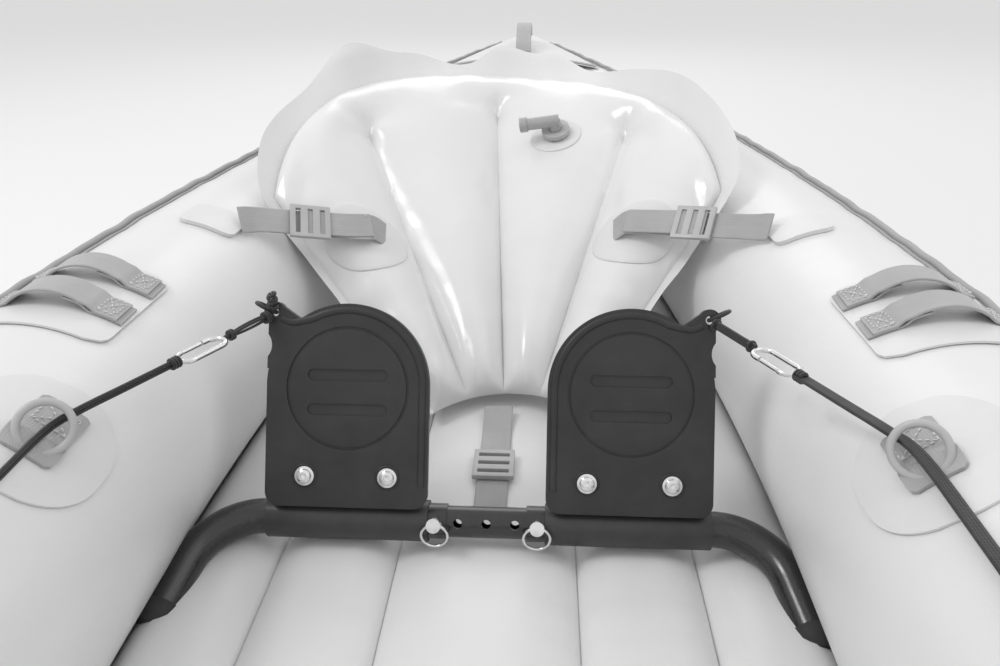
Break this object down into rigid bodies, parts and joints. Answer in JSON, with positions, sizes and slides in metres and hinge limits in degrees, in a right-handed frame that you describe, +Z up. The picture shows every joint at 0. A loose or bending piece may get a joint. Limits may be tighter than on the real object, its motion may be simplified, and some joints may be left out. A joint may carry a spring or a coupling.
{
  "type": "inflatable kayak",
  "caption": "Inflatable kayak with round side tubes, ribbed air floor, inflated cushions, tilting foot pedals on a cross bar, and a rudder worked by their lines.",
  "frame": {"origin": "on the ground under the middle of the hull, on the flat crown of the floor's centre chamber", "axes": "+Y towards the bow, +X to the paddler's right, +Z up"},
  "size_m": [0.8126, 4.4738, 0.5086],
  "materials": {
    "hull_fabric": "glossy coated fabric",
    "cushion_fabric": "satin coated fabric",
    "edge_tape": "woven tape",
    "grey_webbing": "woven webbing",
    "grey_plastic": "moulded plastic",
    "valve_plastic": "moulded plastic",
    "black_tube": "gloss black anodised tube",
    "black_sleeve": "satin black coated tube",
    "black_rubber": "matt rubber",
    "black_pad": "satin moulded plastic",
    "bright_metal": "bright zinc and stainless",
    "black_cord": "woven cord",
    "rudder_plastic": "satin moulded plastic"
  },
  "bodies": {
    "root": {"left_side_tube": "hull_fabric", "right_side_tube": "hull_fabric", "floor_chamber": "hull_fabric", "floor_joint_strips": "hull_fabric", "edge_tapes": "edge_tape", "bow_deck": "hull_fabric", "stern_deck": "hull_fabric", "bow_handle": "grey_webbing", "stern_handle": "grey_webbing", "gear_loop_patches": "hull_fabric", "gear_loops": "grey_webbing", "line_ring_patches": "hull_fabric", "left_line_ring": "grey_plastic", "right_line_ring": "grey_plastic", "stern_line_guides": "grey_webbing", "tube_valves": "grey_plastic", "floor_valve": "grey_plastic", "bow_cushion": "cushion_fabric", "cushion_patches": "hull_fabric", "cushion_valve_base": "grey_plastic", "cushion_side_straps": "grey_webbing", "cushion_side_buckles": "grey_plastic", "cushion_floor_strap": "grey_webbing", "floor_strap_buckle": "grey_plastic", "center_tube": "black_tube", "left_leg_tube": "black_tube", "right_leg_tube": "black_tube", "leg_tube_feet": "black_rubber", "left_steering_line": "black_cord", "right_steering_line": "black_cord", "seat_cushion": "cushion_fabric", "seat_back_straps": "grey_webbing", "seat_strap_buckles": "grey_plastic", "seat_strap_patches": "hull_fabric", "rudder_bracket": "bright_metal", "rudder_pintle": "bright_metal"},
    "left_pedal": {"left_pedal_sleeve": "black_sleeve", "left_pedal_pad": "black_pad", "left_pedal_screws": "bright_metal", "left_ear_loop": "black_cord"},
    "right_pedal": {"right_pedal_sleeve": "black_sleeve", "right_pedal_pad": "black_pad", "right_pedal_screws": "bright_metal", "right_ear_loop": "black_cord"},
    "left_clip": {"left_ear_cord": "black_cord", "left_carabiner": "bright_metal"},
    "right_clip": {"right_ear_strap": "black_cord", "right_carabiner": "bright_metal"},
    "left_clip_gate": {"left_carabiner_gate": "bright_metal"},
    "right_clip_gate": {"right_carabiner_gate": "bright_metal"},
    "left_pin": {"left_lock_pin": "bright_metal"},
    "right_pin": {"right_lock_pin": "bright_metal"},
    "left_pin_ring": {"left_pin_ring": "bright_metal"},
    "right_pin_ring": {"right_pin_ring": "bright_metal"},
    "cushion_valve": {"cushion_valve_elbow": "valve_plastic"},
    "seat_back": {"seat_back": "cushion_fabric"},
    "rudder": {"rudder_head": "rudder_plastic", "blade_bolt": "bright_metal"},
    "rudder_blade": {"rudder_blade": "rudder_plastic"}
  },
  "joints": [
    {"name": "left_pedal_tilt", "type": "hinge", "parent": "root", "child": "left_pedal", "pos_m": [-0.098, 0.796, 0.091], "axis": [-1, 0, 0], "range_deg": [-20, 20], "deforming": ["left_steering_line", "right_steering_line"]},
    {"name": "right_pedal_tilt", "type": "hinge", "parent": "root", "child": "right_pedal", "pos_m": [0.098, 0.796, 0.091], "axis": [-1, 0, 0], "range_deg": [-20, 20]},
    {"name": "left_clip_swing", "type": "hinge", "parent": "left_pedal", "child": "left_clip", "pos_m": [-0.1505, 0.85025, 0.22722], "axis": [-1, 0, 0], "range_deg": [-13, 13]},
    {"name": "right_clip_swing", "type": "hinge", "parent": "right_pedal", "child": "right_clip", "pos_m": [0.1505, 0.85025, 0.22722], "axis": [-1, 0, 0], "range_deg": [-13, 13]},
    {"name": "left_gate_open", "type": "hinge", "parent": "left_clip", "child": "left_clip_gate", "pos_m": [-0.18462, 0.79651, 0.22885], "axis": [0.0113, 0.0232, 0.9997], "range_deg": [0, 22], "stiffness_Nm_per_rad": 0.02},
    {"name": "right_gate_open", "type": "hinge", "parent": "right_clip", "child": "right_clip_gate", "pos_m": [0.17205, 0.79035, 0.22885], "axis": [-0.0113, 0.0232, 0.9997], "range_deg": [0, 22], "stiffness_Nm_per_rad": 0.02},
    {"name": "left_pin_pull", "type": "slide", "parent": "root", "child": "left_pin", "axis": [0, -0.8572, 0.515], "range_m": [0, 0.034]},
    {"name": "left_ring_swing", "type": "hinge", "parent": "left_pin", "child": "left_pin_ring", "pos_m": [-0.0355, 0.77903, 0.1012], "axis": [1, 0, 0], "range_deg": [-80, 0]},
    {"name": "right_pin_pull", "type": "slide", "parent": "root", "child": "right_pin", "axis": [0, -0.8572, 0.515], "range_m": [0, 0.034]},
    {"name": "right_ring_swing", "type": "hinge", "parent": "right_pin", "child": "right_pin_ring", "pos_m": [0.0355, 0.77903, 0.1012], "axis": [1, 0, 0], "range_deg": [-80, 0]},
    {"name": "cushion_valve_twist", "type": "hinge", "parent": "root", "child": "cushion_valve", "pos_m": [0.04877, 1.22679, 0.27071], "axis": [-0.1729, -0.4487, 0.8768], "range_deg": [-60, 60]},
    {"name": "seat_back_fold", "type": "hinge", "parent": "root", "child": "seat_back", "pos_m": [0, -0.35, 0.155], "axis": [-1, 0, 0], "range_deg": [0, 50], "deforming": ["seat_back_straps"]},
    {"name": "rudder_yaw", "type": "hinge", "parent": "root", "child": "rudder", "pos_m": [0, -2.054, 0.262], "axis": [0, 0, 1], "range_deg": [-40, 40]},
    {"name": "rudder_blade_drop", "type": "hinge", "parent": "rudder", "child": "rudder_blade", "pos_m": [0, -2.118, 0.266], "axis": [1, 0, 0], "range_deg": [0, 95]}
  ],
  "couplings": [
    {"joint": "right_pedal_tilt", "follows": "left_pedal_tilt", "ratio": -1},
    {"joint": "rudder_yaw", "follows": "left_pedal_tilt", "ratio": -2},
    {"joint": "left_clip_swing", "follows": "left_pedal_tilt", "ratio": -0.65},
    {"joint": "right_clip_swing", "follows": "left_pedal_tilt", "ratio": 0.65}
  ]
}
